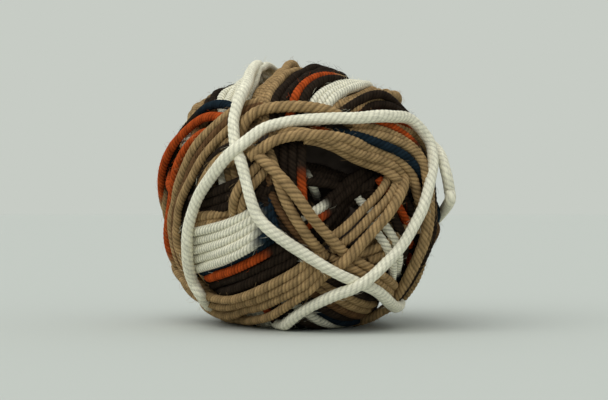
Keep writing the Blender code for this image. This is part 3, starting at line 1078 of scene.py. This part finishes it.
def fibre_roots(parts, wander):
    """Where fibres leave the strands, which way they lie and lift, and their dyes."""
    roots, ways, lifts, dyes = [], [], [], []
    for _, (strand, index, _) in parts:
        path = strand.path[index]
        count = max(1, int(len(path) * STEP / FIBRE_EVERY))
        at = wander.integers(0, len(path) - 2, count)
        forward = unit(path[at + 2] - path[at])
        outward = unit(path[at])
        side = unit(np.cross(forward, outward))
        turn = wander.uniform(-1.5, 1.5, count)[:, None]
        lift = outward * np.cos(turn) + side * np.sin(turn)
        roots.append(path[at] + lift * strand.thick * PRESSED)
        lean = np.where(wander.uniform(-1, 1, count)[:, None] > 0, 1, -1)
        across = np.cross(forward, lift)
        ways.append(unit(forward * lean + across * wander.uniform(-1, 1, count)[:, None]))
        lifts.append(lift)
        dyes.append(dye_along(strand.stops, index[at] * STEP))
    return [np.vstack(values) for values in (roots, ways, lifts, dyes)]


def spindle_faces(count):
    """Faces of many spindles: a root, two rings of three points and a tip each."""
    pattern = [(0, 1, 2), (0, 2, 3), (0, 3, 1), (7, 5, 4), (7, 6, 5), (7, 4, 6)]
    for k in range(3):
        a, b = 1 + k, 1 + (k + 1) % 3
        pattern += [(a, b + 3, b), (a, a + 3, b + 3)]
    return (np.arange(count)[:, None, None] * 8 + np.array(pattern)).reshape(-1, 3)


def fuzz_piece(name, parts, material):
    """One mesh of many fine fibres, each a thin three-sided spindle."""
    wander = np.random.default_rng(11)
    root, way, lift, dye = fibre_roots(parts, wander)
    count = len(root)
    length = wander.uniform(*FIBRE_LENGTHS, count)[:, None]
    rise = wander.uniform(*FIBRE_RISES, count)[:, None]
    across = np.cross(way, lift)
    bow = across * wander.uniform(-FIBRE_BOW, FIBRE_BOW, count)[:, None]
    middles = [root + way * length * 0.35 + lift * rise * 0.7 + bow * 0.4,
               root + way * length * 0.75 + lift * rise + bow]
    tip = root + way * length + lift * rise * 0.8 + bow * 1.2
    ring = [across, -across / 2 + lift * 0.87, -across / 2 - lift * 0.87]
    points = [root] + [middle + r * FIBRE_THICK / 2 for middle in middles for r in ring] + [tip]
    points = np.stack(points, axis=1).reshape(-1, 3)
    in_room = to_room(points)
    in_room[:, 2] = np.maximum(in_room[:, 2], 0)
    # Painted sheen: each fibre takes its strand's dye a tenth paler and the lighter crown value of the
    # painted shade, where fibres that stand off catch the light.
    dye = np.repeat(dye * 1.1, 8, axis=0)
    return mesh_piece(name, in_room, [spindle_faces(count)], dye, np.ones(count * 8), points, material)


pieces.append(fuzz_piece("fuzz", numbered, wool_material))

# %% [markdown]
# The core is what lies under the strands that show: more of the same yarn, in the dark, painted one
# dark brown as the shade there. It is a cube, cut finely and blown up until it lies just under the
# lowest strand everywhere, so that no light passes through the ball.

# %% The core
UNDER_STRANDS, OVER_FLOOR = 1.0, 1.2
bpy.ops.object.select_all(action="DESELECT")
bpy.ops.mesh.primitive_cube_add(size=2)
core = bpy.context.object
core.name = core.data.name = "core"
bpy.ops.object.mode_set(mode="EDIT")
bpy.ops.mesh.subdivide(number_cuts=25)
bpy.ops.object.mode_set(mode="OBJECT")
corners = np.array([v.co for v in core.data.vertices])
direction = unit(np.tan(corners * math.pi / 4))
lowest = top[around].min(axis=0)
inner = to_room(direction * (lowest[cell_of(direction)] - UNDER_STRANDS)[:, None])
inner[:, 2] = np.maximum(inner[:, 2], OVER_FLOOR)
core.data.vertices.foreach_set("co", (inner * MM).astype(np.float32).ravel())
core.data.shade_smooth()
# Painted shade: the hidden yarn gets one dark brown instead of its many dyes.
core.data.materials.append(plain_finish("inner_wool_painted_shade", "#3A3028", 0.95))
pieces.append(core)
print("core has", sum(len(face.vertices) - 2 for face in core.data.polygons), "triangles")

for piece in pieces:
    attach(piece, "root")
    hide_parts("yarn_ball")

# %% [markdown]
# The studio: a wide pale floor that fades into a wall of the same colour, one large soft light high
# at the left and a pale room round it all.

# %% Floor, light and camera
SENSOR_WIDTH = 36.0
bpy.ops.object.select_all(action="DESELECT")
bpy.ops.mesh.primitive_plane_add(size=8)
floor = bpy.context.object
floor.name = "floor"
floor.data.materials.append(plain_finish("paper", "#C6CBC4", 0.9, 0.1))
floor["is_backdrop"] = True

scene = bpy.context.scene
scene.view_settings.view_transform = "Standard"
world = bpy.data.worlds.new("room")
world.use_nodes = True
tree = world.node_tree
wall = tree.nodes["Background"]
wall.inputs["Color"].default_value = (*linear("#C7CCC5"), 1)
room = node(tree, "ShaderNodeBackground", Color=(*linear("#F4F7F6"), 1), Strength=0.66)
seen_by = node(tree, "ShaderNodeLightPath")
choice = node(tree, "ShaderNodeMixShader", _0=seen_by.outputs["Is Camera Ray"],
              _1=room.outputs["Background"], _2=wall.outputs["Background"])
tree.links.new(choice.outputs["Shader"], tree.nodes["World Output"].inputs["Surface"])
scene.world = world

key_light = bpy.data.lights.new("key", "SUN")
key_light.energy = 1.45
key_light.angle = math.radians(70)
key = bpy.data.objects.new("key", key_light)
scene.collection.objects.link(key)
key.rotation_euler = Vector((-0.45, -0.5, 1.0)).to_track_quat("Z", "Y").to_euler()

camera_data = bpy.data.cameras.new("camera")
camera_data.sensor_width = SENSOR_WIDTH
camera_data.lens = FOCAL / FRAME_WIDTH * SENSOR_WIDTH
camera = bpy.data.objects.new("camera", camera_data)
scene.collection.objects.link(camera)
camera.location = EYE * MM
camera.rotation_euler = (math.pi / 2, 0, 0)
scene.camera = camera

# %% Sizes and the end
low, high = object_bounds()
print("box of the looks, mm:", [[round(1000 * v, 1) for v in corner] for corner in (low, high)])
